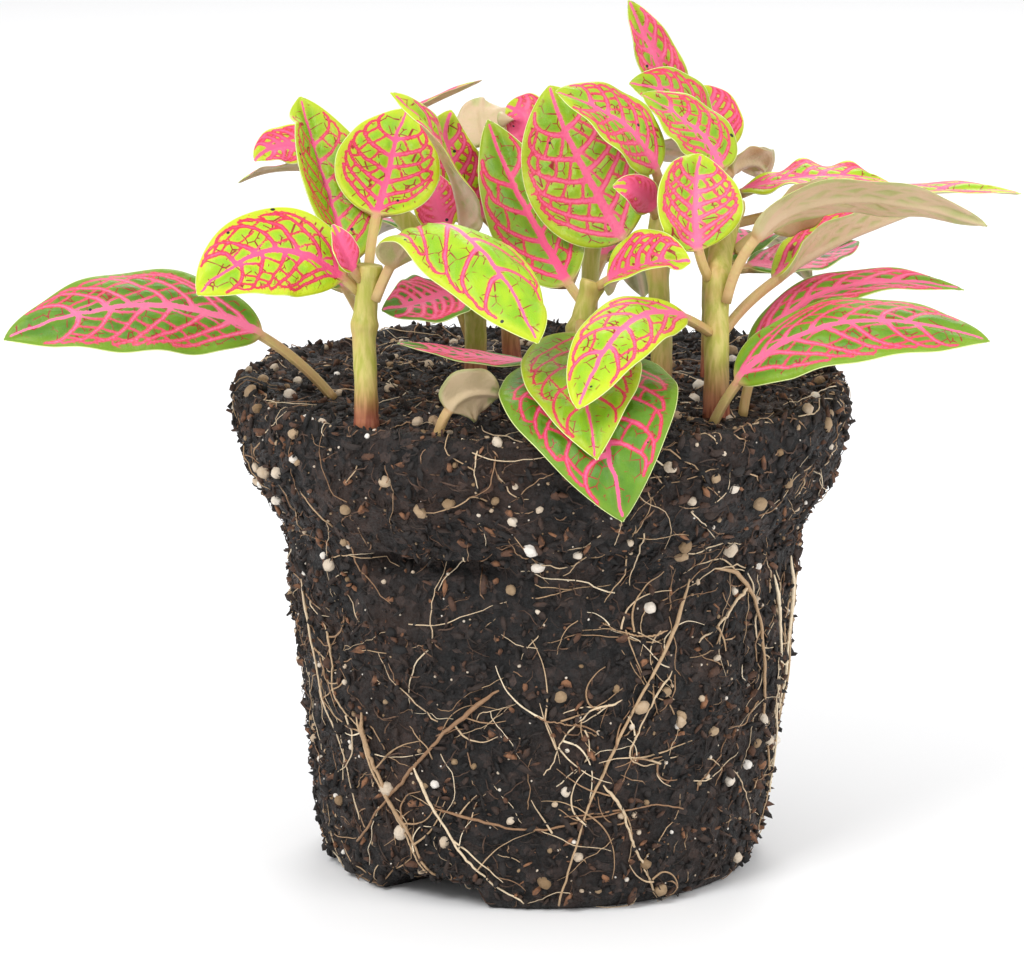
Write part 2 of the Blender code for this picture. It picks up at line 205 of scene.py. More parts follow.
def leaves_from_the_soil():
    mature("low_left", (-34.5, -10, STEM_FOOT + GAP), (-57, -16, 95), (-86, -22, 91), 17, (0, -0.6, 0.8),
           fold=(-12, 0), cup=-10, ruffle=0.5, stalk=0.26)
    mature("low_front", (-16.5, -40, STEM_FOOT), (-13, -40, 85), (-7, -38, 85), 10, (-0.2, 0.9, 0.3),
           fold=(0, 0), stalk=0.3)
    mature("low_right", (27, -30, STEM_FOOT), (43, -33, 95), (70, -34, 93), 16, (0, -0.5, 0.85),
           fold=(-8, -8), stalk=0.14)
    mature("low_right_back", (32, -22, STEM_FOOT), (43, -14, 96), (68, -10, 97), 10, (0, -0.3, 0.95),
           stalk=0.14)


def unit(vector):
    return vector / np.maximum(np.linalg.norm(vector, axis=-1, keepdims=True), 1e-9)


def stem_point(name, height):
    """The point of a stem's middle line at a height."""
    path = np.array(STEMS[name][0], float)
    return np.array([np.interp(height, path[:, 2], path[:, k]) for k in range(3)])


def leaf_foot(spec):
    """Where a leaf's middle line starts: on the soil, or just off the wall of its stem."""
    if len(spec["grows_from"]) == 3:
        return np.array(spec["grows_from"], float)
    name, height = spec["grows_from"]
    start, tip = stem_point(name, height), np.array(spec["tip"], float)
    heading = unit(2 * np.array(spec["crest"], float) - (start + tip) / 2 - start)
    along = unit(stem_point(name, height + 1) - stem_point(name, height - 1))
    across = heading - (heading @ along) * along
    lean = max(np.linalg.norm(across), LEAST_LEAN)
    away = unit(unit(across) * lean + along * (heading @ along))
    return start + away * (STEMS[name][1] + GAP + LEAF_THICKNESS / 2) / lean


def middle_line(foot, crest, tip, share):
    """Point and direction on the curve foot-crest-tip at shares of its length."""
    pull = 2 * crest - (foot + tip) / 2

    def at(u):
        u = u[..., None]
        point = (1 - u) ** 2 * foot + 2 * u * (1 - u) * pull + u ** 2 * tip
        return point, unit((1 - u) * (pull - foot) + u * (tip - pull))

    steps = np.linspace(0, 1, 41)
    pieces = np.linalg.norm(np.diff(at(steps)[0], axis=0), axis=1)
    run = np.concatenate([[0], np.cumsum(pieces)])
    return at(np.interp(share, run / run[-1], steps))


def blade_outline(along, peak):
    """Half width of a blade, as a share of its largest, from its base at 0 to its tip at 1."""
    before, after = OUTLINE_POWER * peak, OUTLINE_POWER * (1 - peak)
    return along ** before * (1 - along) ** after / (peak ** before * (1 - peak) ** after)


def leaf_surface(spec, share, side):
    """The leaf's middle surface: share runs from foot to tip, side from -1 (left) to 1 (right)."""
    share, side = np.broadcast_arrays(share, side)
    crest, tip = np.array(spec["crest"], float), np.array(spec["tip"], float)
    middle, forward = middle_line(leaf_foot(spec), crest, tip, share)
    faces, faces_tip = unit(np.array(spec["faces"], float)), spec["faces_tip"] or spec["faces"]
    looks = faces + (unit(np.array(faces_tip, float)) - faces) * share[..., None]
    up = unit(looks - (looks * forward).sum(-1, keepdims=True) * forward)
    right = np.cross(forward, up)

    along = np.clip((share - spec["stalk"]) / (1 - spec["stalk"]), 0, 1)
    widest = spec["width"] / 2
    least = np.where(along < 0.5, STALK_HALF, TIP_HALF)
    edge = np.maximum(widest * blade_outline(along, spec["peak"]), least)
    reach = np.abs(side) * edge
    opens = np.clip(along * 5, 0, 1) * np.clip((1 - along) * 6, 0.3, 1)
    fold = np.radians(np.where(side > 0, spec["fold"][1], spec["fold"][0])) * opens
    angle = fold + np.radians(spec["cup"]) * opens * reach / widest / 2
    still_ends = np.clip(along * 4, 0, 1) * np.clip((1 - along) * 4, 0, 1)
    wave = np.sin(6 * math.pi * along + (side > 0) * 1.3) * still_ends
    out = np.sign(side) * reach * np.cos(angle)
    lift = reach * np.sin(angle) + spec["ruffle"] * side ** 2 * wave
    return middle + right * out[..., None] + up * lift[..., None]


# ---- Looks of the leaves ----

def look(green, pairs, links, broad, pale):
    """green: 0 is lime, 1 the dark green of an old leaf. pairs: side veins on each half.

    links: cross veins between two of them. broad: how wide veins are. pale: how far pink goes to white.
    """
    return dict(green=green, pairs=pairs, links=links, broad=broad, pale=pale)


USUAL_LOOKS = {"young_leaf": look(0.12, 6, 2, 1.2, 0.25), "mature_leaf": look(0.9, 7, 2, 1.25, 0.45)}
LOOKS = {
    "leaf_left_front": look(0.10, 5, 0, 1.0, 0.45),
    "leaf_left_side": look(0.05, 6, 3, 0.85, 0.15),
    "leaf_left_round": look(0.10, 6, 2, 0.9, 0.2),
    "leaf_left_tall": look(0.25, 7, 2, 0.7, 0.2),
    "leaf_centre_large": look(0.28, 6, 3, 1.15, 0.3),
    "leaf_centre_top": look(0.30, 6, 3, 0.95, 0.4),
    "leaf_right_round": look(0.15, 6, 3, 1.0, 0.55),
    "leaf_front_tall": look(0.50, 5, 1, 1.1, 0.15),
    "leaf_front_hanging": look(0.35, 5, 1, 0.75, 0.15),
    "leaf_right_front": look(0.05, 5, 1, 1.0, 0.5),
    "leaf_front_largest": look(0.80, 6, 2, 1.1, 0.3),
    "leaf_low_left": look(0.78, 7, 4, 1.0, 0.65),
    "leaf_low_right": look(0.72, 7, 3, 1.0, 0.5),
    "leaf_low_right_back": look(0.72, 7, 3, 1.2, 0.45),
    "leaf_spike": look(0.35, 6, 2, 1.1, 0.5),
    "leaf_right_top": look(0.35, 6, 2, 0.8, 0.5),
    "leaf_crown": look(0.45, 6, 2, 0.9, 0.3),
}

# Half widths of the veins where they start and end.
MIDRIB = (0.75, 0.22)
SIDE_VEIN = (0.46, 0.26)
LOOP_VEIN = (0.26, 0.22)
LINK_VEIN = (0.26, 0.20)
SPUR_VEIN = (0.13, 0.05)
VEIN_REACH = 0.84         # how far out the side veins go, as a share of the half width
SPUR_REACH = 0.93
VEIN_POINTS = 9

BLADE_THICKNESS = 0.36
PUFF = 0.30               # how high the green stands between the veins
MESH_STEP = 0.27          # spacing of the points on a blade
STALK_ROWS = 14
INTO_STEM = 1.5           # how far a stalk runs on into its stem


def noise_cells(points, seed):
    """A fixed value in 0..1 for each whole-numbered cell."""
    x, y, z = (points[..., k].astype(np.int64) for k in range(3))
    value = (x * 374761393 + y * 668265263 + z * 1442695041 + seed * 974634777) & 0xFFFFFFFF
    value = ((value ^ (value >> 13)) * 1274126177) & 0xFFFFFFFF
    return ((value ^ (value >> 16)) & 0xFFFFFF) / 0xFFFFFF


def noise(points, size, seed):
    """Smooth noise from -1 to 1 with lumps about size across."""
    place = points / size
    corner = np.floor(place)
    part = place - corner
    part = part * part * (3 - 2 * part)
    total = np.zeros(points.shape[:-1])
    for step in np.ndindex(2, 2, 2):
        weight = np.prod(np.where(np.array(step) == 1, part, 1 - part), axis=-1)
        total += weight * noise_cells(corner + step, seed)
    return total * 2 - 1


def lumps(points, size, seed):
    """Distance to the nearest of scattered points about size apart, as a share of size."""
    place = points / size
    corner = np.floor(place)
    nearest = np.full(points.shape[:-1], 9.0)
    for step in np.ndindex(3, 3, 3):
        cell = corner + np.array(step) - 1
        dot = cell + np.stack([noise_cells(cell, seed + k) for k in (1, 2, 3)], -1)
        nearest = np.minimum(nearest, np.linalg.norm(dot - place, axis=-1))
    return nearest


# ---- Veins ----

def side_vein(start, reach, side, bend):
    """One side vein, from the midrib out to near the margin, as (along, across) shares."""
    way = np.linspace(0, 1, VEIN_POINTS)
    return np.stack([start + reach * way ** 1.2, side * VEIN_REACH * (1 - (1 - way) ** bend)], -1)


def point_on(vein, share):
    place = share * (len(vein) - 1)
    low = min(int(place), len(vein) - 2)
    return vein[low] + (vein[low + 1] - vein[low]) * (place - low)


def arc(start, end, bulge, points=5):
    """A bowed line between two points; bulge is added at its middle."""
    way = np.linspace(0, 1, points)[:, None]
    return start + (np.array(end) - start) * way + np.array(bulge) * 4 * way * (1 - way)


def side_veins(count, side, rng):
    """The side veins of one half. Those near the blade's base sweep the furthest."""
    row = []
    for k in range(count):
        start = 0.02 + 0.80 * ((k + 0.25 * (side > 0)) / count) ** 1.05 + rng.uniform(-0.012, 0.012)
        reach = (0.34 - 0.20 * k / count) * rng.uniform(0.9, 1.1)
        row.append(side_vein(start, min(reach, 0.96 - start), side, rng.uniform(1.5, 1.9)))
    return row


def joined(vein, above, side, links, rng):
    """The loop from a side vein's end to the next side vein, and the cross links between the two."""
    end = point_on(above, rng.uniform(0.62, 0.8))
    found = [(arc(vein[-1], end, (0.01, side * 0.05)), LOOP_VEIN)]
    for link in range(links):
        share = (link + 0.9 + rng.uniform(-0.2, 0.2)) / (links + 1.0)
        low, high = point_on(vein, share), point_on(above, max(share - 0.16, 0.06))
        bow = (rng.uniform(-0.012, 0.012), side * rng.uniform(-0.03, 0.03))
        found.append((arc(low, high, bow), LINK_VEIN))
    return found


def spurs(vein, side, count, rng):
    """Short thin veins that leave a side vein towards the margin and end free."""
    found = []
    for _ in range(count):
        root = point_on(vein, rng.uniform(0.45, 1.0))
        end = root + np.array([rng.uniform(-0.02, 0.045), side * rng.uniform(0.05, 0.12)])
        end[1] = np.clip(end[1], -SPUR_REACH, SPUR_REACH)
        found.append((arc(root, end, (0.004, 0)), SPUR_VEIN))
    return found


def vein_net(leaf_look, rng):
    """The veins of a blade, as (points in shares, half widths at its start and end)."""
    broad = leaf_look["broad"]
    midrib = np.stack([np.linspace(0, 0.97, 16), 0.02 * np.sin(np.linspace(0, 5, 16))], -1)
    wide, thin = [(midrib, MIDRIB)], []
    for side in (-1, 1):
        row = side_veins(leaf_look["pairs"], side, rng)
        wide += [(vein, SIDE_VEIN) for vein in row]
        for vein, above in zip(row, row[1:]):
            wide += joined(vein, above, side, leaf_look["links"], rng)
        for vein in row:
            thin += spurs(vein, side, 2 + leaf_look["links"], rng)
    return [(points, first * broad, last * broad) for points, (first, last) in wide] + [
        (points, first, last) for points, (first, last) in thin]


def vein_distance(places, veins, length, half_at):
    """Distance of flat places to the edge of the nearest vein."""
    starts, ends, wide, narrow = [], [], [], []
    for points, first, last in veins:
        flat = np.stack([points[:, 0] * length, points[:, 1] * half_at(points[:, 0])], -1)
        widths = np.linspace(first, last, len(points))
        starts.append(flat[:-1])
        ends.append(flat[1:])
        wide.append(widths[:-1])
        narrow.append(widths[1:])
    starts, ends, wide, narrow = (np.concatenate(found) for found in (starts, ends, wide, narrow))
    along = ends - starts
    size = np.maximum((along ** 2).sum(-1), 1e-9)
    nearest = np.empty(len(places))
    for low in range(0, len(places), 2000):
        chunk = places[low:low + 2000, None]
        share = np.clip(((chunk - starts) * along).sum(-1) / size, 0, 1)
        gap = np.linalg.norm(chunk - starts - share[..., None] * along, axis=-1)
        nearest[low:low + 2000] = (gap - wide - (narrow - wide) * share).min(-1)
    return nearest


# ---- Meshes ----

def grid_faces(rows, columns, closed=False, first=0):
    """Triangles of a grid of points; closed joins its last column to its first."""
    last = columns if closed else columns - 1
    row, column = np.meshgrid(np.arange(rows - 1), np.arange(last), indexing="ij")
    after = (column + 1) % columns
    a, b = first + row * columns + column, first + row * columns + after
    c, d = first + (row + 1) * columns + after, first + (row + 1) * columns + column
    return np.concatenate([np.stack(three, -1).reshape(-1, 3) for three in ((a, b, c), (a, c, d))])


def new_piece(name, points, faces, material, fields=None, bake_map=None):
    """A smooth mesh that rides with the plant. fields are values at its points that a material reads."""
    mesh = bpy.data.meshes.new(name)
    mesh.vertices.add(len(points))
    mesh.vertices.foreach_set("co", (points * MM).astype(np.float32).ravel())
    mesh.loops.add(faces.size)
    mesh.loops.foreach_set("vertex_index", faces.astype(np.int32).ravel())
    mesh.polygons.add(len(faces))
    mesh.polygons.foreach_set("loop_start", np.arange(0, faces.size, 3, dtype=np.int32))
    mesh.update(calc_edges=True)
    mesh.shade_smooth()
    for key, values in (fields or {}).items():
        kind, channel = ("FLOAT", "value") if values.ndim == 1 else ("FLOAT_VECTOR", "vector")
        mesh.attributes.new(key, kind, "POINT").data.foreach_set(channel, values.astype(np.float32).ravel())
    if bake_map is not None:
        layer = mesh.uv_layers.new(name="OFBake")
        layer.data.foreach_set("uv", bake_map[faces.ravel()].astype(np.float32).ravel())
    mesh.materials.append(material)
    piece = bpy.data.objects.new(name, mesh)
    bpy.context.scene.collection.objects.link(piece)
    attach(piece, "root")
    return piece


def facing(points, faces, outward):
    """The faces, turned round if they don't look along the outward vectors of their points."""
    a, b, c = (points[faces[:, k]] for k in range(3))
    looks = (np.cross(b - a, c - a) * outward[faces[:, 0]]).sum()
    return faces if looks > 0 else faces[:, ::-1]


# ---- Leaves ----

def blade_half(spec, along):
    return spec["width"] / 2 * blade_outline(np.clip(along, 1e-4, 1 - 1e-4), spec["peak"])


def blade_grid(spec, length):
    """Shares from foot to tip and across, closer together at the ends and the margins."""
    stalk = spec["stalk"]
    spacing = np.linspace(0, 1, int(length / MESH_STEP))
    spacing = spacing + 0.09 * np.sin(2 * math.pi * (spacing - 0.5)) / math.pi
    share = np.concatenate([np.linspace(0, stalk, STALK_ROWS)[:-1], stalk + (1 - stalk) * spacing])
    side = np.linspace(-1, 1, int(spec["width"] / MESH_STEP) // 2 * 2 + 5)
    return share, side * (1 + 0.12 * (1 - side ** 2))


def leaf_faces(points, up, rows, columns):
    """Upper side, lower side and rim of a leaf whose points are two grids, the upper one first."""
    size = rows * columns
    outward = np.concatenate([up, -up])
    upper = facing(points, grid_faces(rows, columns), outward)
    lower = facing(points, grid_faces(rows, columns, first=size), outward)
    rim = np.concatenate([np.arange(columns), np.arange(2, rows) * columns - 1,
                          np.arange(size - 1, size - 1 - columns, -1), np.arange(rows - 2, 0, -1) * columns])
    after = np.roll(rim, -1)
    wall = np.concatenate([np.stack([rim, after, after + size], -1),
                           np.stack([rim, after + size, rim + size], -1)])
    wall = facing(points, wall, points - points.mean(0))
    return np.concatenate([upper, lower, wall])


def blade_sides(surface, up, vein, margin, across, along, side, relief_at):
    """The upper and the lower side: puffed up between the veins, with a ribbed back and a round stalk."""
    is_blade = np.clip(along * 6, 0, 1)[:, None]
    puff = PUFF * (1 - np.exp(-(np.maximum(vein, 0) / 0.75) ** 2)) * np.clip(margin / 1.2, 0, 1) * is_blade
    puff = puff + 0.12 * noise(relief_at, 5.0, 8) * np.clip(margin / 2, 0, 1) * is_blade
    groove = 0.22 * np.exp(-(across / 0.9) ** 2) * is_blade
    half = BLADE_THICKNESS * np.clip(margin / 0.5, 0.25, 1) / 2
    stalk = np.sqrt(np.clip(1 - side[None, :] ** 2, 0, 1)) * (1 - is_blade)
    rib = (0.75 - 0.5 * along[:, None]) * np.exp(-(across / (0.75 - 0.35 * along[:, None])) ** 2) * is_blade
    top = surface + up * (half + puff - groove + 0.25 * stalk)[..., None]
    bottom = surface + up * (puff - half - rib - 1.05 * stalk)[..., None]
    return top, bottom


def make_leaf(name, spec, material, number):
    rng = np.random.default_rng(100 + number)
    leaf_look = LOOKS.get(name, USUAL_LOOKS[spec["slot"]])
    stalk = spec["stalk"]
    foot, crest, tip = leaf_foot(spec), np.array(spec["crest"], float), np.array(spec["tip"], float)
    line = middle_line(foot, crest, tip, np.linspace(0, 1, 60))[0]
    whole = np.linalg.norm(np.diff(line, axis=0), axis=1).sum()
    length = whole * (1 - stalk)
    share, side = blade_grid(spec, length)
    surface = leaf_surface(spec, share[:, None], side[None, :])
    up = unit(np.cross(np.gradient(surface, axis=1), np.gradient(surface, axis=0)))

    along = np.clip((share - stalk) / (1 - stalk), 0, 1)
    edge = np.maximum(blade_half(spec, along), np.where(along < 0.5, STALK_HALF, TIP_HALF))
    flat = np.stack(np.broadcast_arrays((share[:, None] - stalk) * whole, side[None, :] * edge[:, None]), -1)
    relief_at = np.concatenate([flat, np.full(flat.shape[:2] + (1,), 7.0 * number)], -1)
    warp = np.stack([noise(relief_at, 2.2, 5), noise(relief_at, 2.2, 6)], -1) * 0.28
    vein = vein_distance((flat + warp).reshape(-1, 2), vein_net(leaf_look, rng), length,
                         lambda x: blade_half(spec, x)).reshape(flat.shape[:2])
    across = np.abs(flat[..., 1])
    margin = np.minimum(edge[:, None] - across, (length - flat[..., 0]) * 0.6 + 0.1)
    top, bottom = blade_sides(surface, up, vein, margin, across, along, side, relief_at)

    def with_foot(values):
        return np.concatenate([values[:1], values])

    into_stem = -unit(np.diff(line[:2], axis=0)[0]) * INTO_STEM
    if len(spec["grows_from"]) == 3:
        into_stem = into_stem * 0.8
    shell = [np.concatenate([layer[:1] + into_stem, layer]).reshape(-1, 3) for layer in (top, bottom)]
    points = np.concatenate(shell)
    rows, columns = len(share) + 1, len(side)
    faces = leaf_faces(points, with_foot(up).reshape(-1, 3), rows, columns)

    values = dict(vein=vein, margin=margin, rib=across, along=np.broadcast_to(along[:, None], vein.shape))
    fields = {key: np.tile(with_foot(value).reshape(-1), 2) for key, value in values.items()}
    under = np.repeat([0.0, 1.0], rows * columns)
    place = np.concatenate([with_foot(flat).reshape(-1, 2)] * 2)
    fields.update(under=under, green=np.full(len(points), leaf_look["green"]),
                  pale=np.full(len(points), leaf_look["pale"]),
                  flat=np.concatenate([place, (11.0 * number + under)[:, None]], -1))
    height = place[:, 1] / spec["width"] * 0.46 + 0.25 + 0.5 * under
    bake_map = np.stack([(place[:, 0] + whole * stalk + 2) / (whole + 4), height], -1)
    piece = new_piece(name.removeprefix("leaf_") + "_blade", points, faces, material,
                      fields, bake_map)
    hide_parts(name)


# ---- Tubes: stems, roots and fibres ----

def tubes(paths, radii, sides):
    """Closed tubes along many paths of one length: points, faces, and the number of each point's tube."""
    count, steps = paths.shape[:2]
    forward = unit(np.gradient(paths, axis=1))
    helper = np.where(np.abs(forward[:, :1, 2:]) > 0.8, [[[1.0, 0, 0]]], [[[0, 0, 1.0]]])
    first = unit(np.cross(forward, np.broadcast_to(helper, forward.shape)))
    second = np.cross(forward, first)
    turn = np.arange(sides) * 2 * math.pi / sides
    ring = first[:, :, None] * np.cos(turn)[:, None] + second[:, :, None] * np.sin(turn)[:, None]
    body = (paths[:, :, None] + ring * radii[..., None, None]).reshape(count, -1, 3)
    points = np.concatenate([body, paths[:, :1], paths[:, -1:]], axis=1)

    around = np.arange(sides)
    after = (around + 1) % sides
    last = (steps - 1) * sides
    start, end = np.full(sides, steps * sides), np.full(sides, steps * sides + 1)
    one = np.concatenate([grid_faces(steps, sides, closed=True), np.stack([start, after, around], -1),
                          np.stack([end, last + around, last + after], -1)])
    faces = (one[None] + np.arange(count)[:, None, None] * points.shape[1]).reshape(-1, 3)
    a, b, c = (points[0][one[:sides, k]] for k in range(3))
    if (np.cross(b - a, c - a) * (a - paths[0, 0])).sum() < 0:
        faces = faces[:, ::-1]
    return points.reshape(-1, 3), faces, np.repeat(np.arange(count), points.shape[1])


def resample(points, count):
    """A path's points spread evenly, with its corners rounded."""
    points = np.array(points, float)
    for _ in range(3):
        low, high = points[:-1] * 0.75 + points[1:] * 0.25, points[:-1] * 0.25 + points[1:] * 0.75
        cut = np.stack([low, high], 1).reshape(-1, points.shape[1])
        points = np.concatenate([points[:1], cut, points[-1:]])
    run = np.concatenate([[0], np.cumsum(np.linalg.norm(np.diff(points, axis=0), axis=1))])
    places = np.linspace(0, run[-1], count)
    return np.stack([np.interp(places, run, points[:, k]) for k in range(points.shape[1])], -1)


def make_stem(name, path, radius, material, number):
    """A round stem, thicker at its two joints and at its foot, which runs on into the soil."""
    steps, sides, into_soil = 90, 36, 2.5
    line = resample(path, steps)
    line = np.concatenate([line[:1] - [0, 0, into_soil], line])
    way = np.linspace(0, 1, steps + 1)
    joints = np.exp(-((way - 0.62) / 0.05) ** 2) + np.exp(-((way - 0.97) / 0.06) ** 2)
    thickness = radius * (0.92 + 0.22 * joints + 0.12 * np.exp(-way / 0.06))
    points, faces, _ = tubes(line[None], thickness[None], sides)
    outward = points - np.concatenate([np.repeat(line, sides, 0), line[:1], line[-1:]])
    dent = 0.10 * noise(points, 2.5, 31 + number) + 0.05 * noise(points, 0.9, 41 + number)
    points = points + outward / radius * dent[:, None]
    rise = np.concatenate([np.repeat(way, sides), [0, 1]])
    turn = np.concatenate([np.tile(np.arange(sides) / sides, steps + 1), [0, 0]])
    bake_map = np.stack([turn, rise], -1) * 0.9 + 0.05
    piece = new_piece(name + "_skin", points, faces, material, dict(rise=rise), bake_map)
    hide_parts(name)


# ---- Root ball ----

CRACK_HEIGHT = 57.2       # of the dark crack under the collar at the front left
CRACK_DEPTH = 3.2
NOTCH_HEIGHT = 5.5        # of the piece that is missing from the front left of the foot
FRONT_SAG = 1.2           # how much lower the collar's lip is at the front
TOP_STEP, SIDE_STEP = 0.6, 0.5
BALL_COLUMNS = 380


def ball_outline():
    """The turned outline, from the middle of the foot up and over to the middle of the soil."""
    corners = [(0, 0), (FOOT_RADIUS - 2.2, 0), (FOOT_RADIUS - 1, 0.8), (FOOT_RADIUS + 0.2, 3.5),
               (FOOT_RADIUS + 1.2, 11), (39.8, 33), (NECK_RADIUS, STEP_LOW), (NECK_RADIUS + 1.3, 60),
               (COLLAR_RADIUS - 3.8, 63.5), (COLLAR_RADIUS - 1.6, STEP_HIGH - 2), (COLLAR_RADIUS, 75.5),
               (COLLAR_RADIUS - 0.2, BALL_HEIGHT - 1.5), (COLLAR_RADIUS - 1.6, BALL_HEIGHT),
               (COLLAR_RADIUS - 4.5, SOIL_LEVEL), (0, SOIL_LEVEL)]
    fine = np.array(corners, float)
    run = np.concatenate([[0], np.cumsum(np.linalg.norm(np.diff(fine, axis=0), axis=1))])
    even = np.arange(0, run[-1], 0.25)
    line = np.stack([np.interp(even, run, fine[:, k]) for k in range(2)], -1)
    window = np.hanning(9) / np.hanning(9).sum()
    soft = np.array([np.convolve(line[:, k], window, "same") for k in range(2)]).T
    line[6:-6] = soft[6:-6]
    normal = np.stack([np.gradient(line[:, 1]), -np.gradient(line[:, 0])], -1)
    return even, line, unit(normal)


OUTLINE_RUN, OUTLINE, OUTLINE_NORMAL = ball_outline()
FOOT_END = FOOT_RADIUS - 2.2
RIM_START = float(OUTLINE_RUN[np.argmax(OUTLINE[:, 1])])
RUN_END = float(OUTLINE_RUN[-1])


def outline_at(run, values):
    return tuple(np.interp(run, OUTLINE_RUN, values[:, k]) for k in range(2))


def run_at_height(height):
    """Where on the outline the ball's side has a height."""
    side = (OUTLINE_RUN > FOOT_END) & (OUTLINE_RUN < RIM_START)
    return np.interp(height, OUTLINE[side, 1], OUTLINE_RUN[side])


def bump_field(points, angle):
    """How far the soil stands out of the ball's outline at points on it."""
    out = 0.9 * noise(points, 11.0, 61) + 0.55 * (0.62 - lumps(points, 5.0, 71))
    out = out + 0.55 * (0.6 - lumps(points * [1, 1, 1.15], 2.1, 81)) + 0.22 * noise(points, 1.1, 91)
    degrees = np.degrees(angle)
    height = points[..., 2]
    across = np.clip((degrees + 43) / 6, 0, 1) * np.clip((-6 - degrees) / 8, 0, 1)
    crack = np.exp(-((height - CRACK_HEIGHT - 0.5 * noise(points, 6.0, 95)) / 1.1) ** 2)
    out = out - CRACK_DEPTH * crack * across
    return out * np.clip((height - 0.2) / 2.5, 0, 1)


def on_ball(run, angle):
    """Point and outward direction on the soil. Angle 0 is the front, and it grows to the right."""
    run, angle = np.broadcast_arrays(np.asarray(run, float), np.asarray(angle, float))
    radius, height = outline_at(run, OUTLINE)
    out, rise = outline_at(run, OUTLINE_NORMAL)
    round_about = np.stack([np.sin(angle), -np.cos(angle)], -1)
    point = np.concatenate([round_about * radius[..., None], height[..., None]], -1)
    normal = unit(np.concatenate([round_about * out[..., None], rise[..., None]], -1))
    point = point + normal * bump_field(point, angle)[..., None]

    degrees = np.degrees(angle)
    notch = np.clip((degrees + 49) / 5, 0, 1) * np.clip((-15 - degrees) / 4, 0, 1)
    low = np.clip(1 - point[..., 2] / NOTCH_HEIGHT, 0, 1)
    lift = notch * low * (3.4 + 0.8 * noise(point, 3.0, 97)) * (run > FOOT_END - 8)
    at_rim = np.clip((run - RIM_START + 14) / 14, 0, 1) * np.clip((radius - 30) / 18, 0, 1)
    sag = FRONT_SAG * np.clip(np.cos(angle), 0, 1) * at_rim
    point[..., 2] += lift
    point[..., :2] = point[..., :2] * (1 - 0.05 * notch * low)[..., None]
    point[..., 2] -= sag
    return point, normal


def make_ball(material):
    runs = np.concatenate([np.linspace(0, FOOT_END, 8)[:-1], np.arange(FOOT_END, RIM_START + 6, SIDE_STEP),
                           np.arange(RIM_START + 6, RUN_END - 0.3, TOP_STEP)])
    angle = np.arange(BALL_COLUMNS) * 2 * math.pi / BALL_COLUMNS - math.pi
    points, normal = on_ball(runs[:, None], angle[None, :])
    points, normal = points.reshape(-1, 3), normal.reshape(-1, 3)
    faces = facing(points, grid_faces(len(runs), BALL_COLUMNS, closed=True), normal)
    around = np.arange(BALL_COLUMNS)
    inner = (len(runs) - 1) * BALL_COLUMNS
    lid = np.stack([np.full(BALL_COLUMNS, len(points)), inner + around,
                    inner + (around + 1) % BALL_COLUMNS], -1)
    points = np.concatenate([points, points[-BALL_COLUMNS:].mean(0)[None]])
    normal = np.concatenate([normal, [[0, 0, 1.0]]])
    faces = np.concatenate([faces, facing(points, lid, normal)])
    piece = new_piece("soil", points, faces, material)
    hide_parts("root_ball")


def blob(level):
    """Points and triangles of a Blender icosphere, to be bent into grains and chips."""
    bm = bmesh.new()
    bmesh.ops.create_icosphere(bm, subdivisions=level, radius=1)
    points = np.array([vert.co[:] for vert in bm.verts])
    faces = np.array([[vert.index for vert in face.verts] for face in bm.faces])
    bm.free()
    return points, faces


def scatter_places(rng, count, lowest=2.0):
    """Even random places on the side, the collar and the top of the ball."""
    found_run, found_angle = [], []
    while sum(len(part) for part in found_run) < count:
        run = rng.uniform(FOOT_END + lowest, RUN_END - 1, 4 * count)
        keep = rng.uniform(0, COLLAR_RADIUS, 4 * count) < outline_at(run, OUTLINE)[0]
        found_run.append(run[keep])
        found_angle.append(rng.uniform(-math.pi, math.pi, keep.sum()))
    return np.concatenate(found_run)[:count], np.concatenate(found_angle)[:count]


def scattered(rng, level, sizes, sink, roughness):
    """Many bent blobs lying in the soil: points, faces and a random tone for each."""
    count = len(sizes)
    place, normal = on_ball(*scatter_places(rng, count))
    points, faces = blob(level)
    bent = np.broadcast_to(points, (count,) + points.shape).copy()
    bent *= 1 + roughness * rng.uniform(-1, 1, (count, len(points), 1))
    bent *= sizes[:, None, :]
    turns = np.linalg.qr(rng.normal(size=(count, 3, 3)))[0]
    bent = np.einsum("nij,nkj->nki", turns, bent)
    bent += (place + normal * (sizes.min(-1) * sink)[:, None])[:, None]
    shift = np.arange(count)[:, None, None] * len(points)
    tone = np.repeat(rng.uniform(0, 1, count), len(points))
    return bent.reshape(-1, 3), (faces[None] + shift).reshape(-1, 3), tone


def make_crumbs(material):
    """Chips of peat and bark, and the finer bits between them."""
    for name, seed, least, most in (("peat_crumbs", 11, 0.3, 1.0), ("peat_bits", 16, 0.12, 0.42)):
        rng = np.random.default_rng(seed)
        count = 9600
        base = rng.uniform(least, most, (count, 1)) ** 1.3
        sizes = base * rng.uniform([0.8, 0.5, 0.25], [2.1, 1.0, 0.6], (count, 3))
        points, faces, tone = scattered(rng, 1, sizes, 0.35, 0.35)
        new_piece(name, points, faces, material, dict(tone=tone))


def make_perlite(material):
    rng = np.random.default_rng(12)
    count = 1300
    base = 0.16 + 1.05 * rng.uniform(0, 1, (count, 1)) ** 4.0
    sizes = base * rng.uniform(0.75, 1.2, (count, 3))
    points, faces, tone = scattered(rng, 2, sizes, 0.15, 0.12)
    new_piece("perlite", points, faces, material, dict(tone=tone))


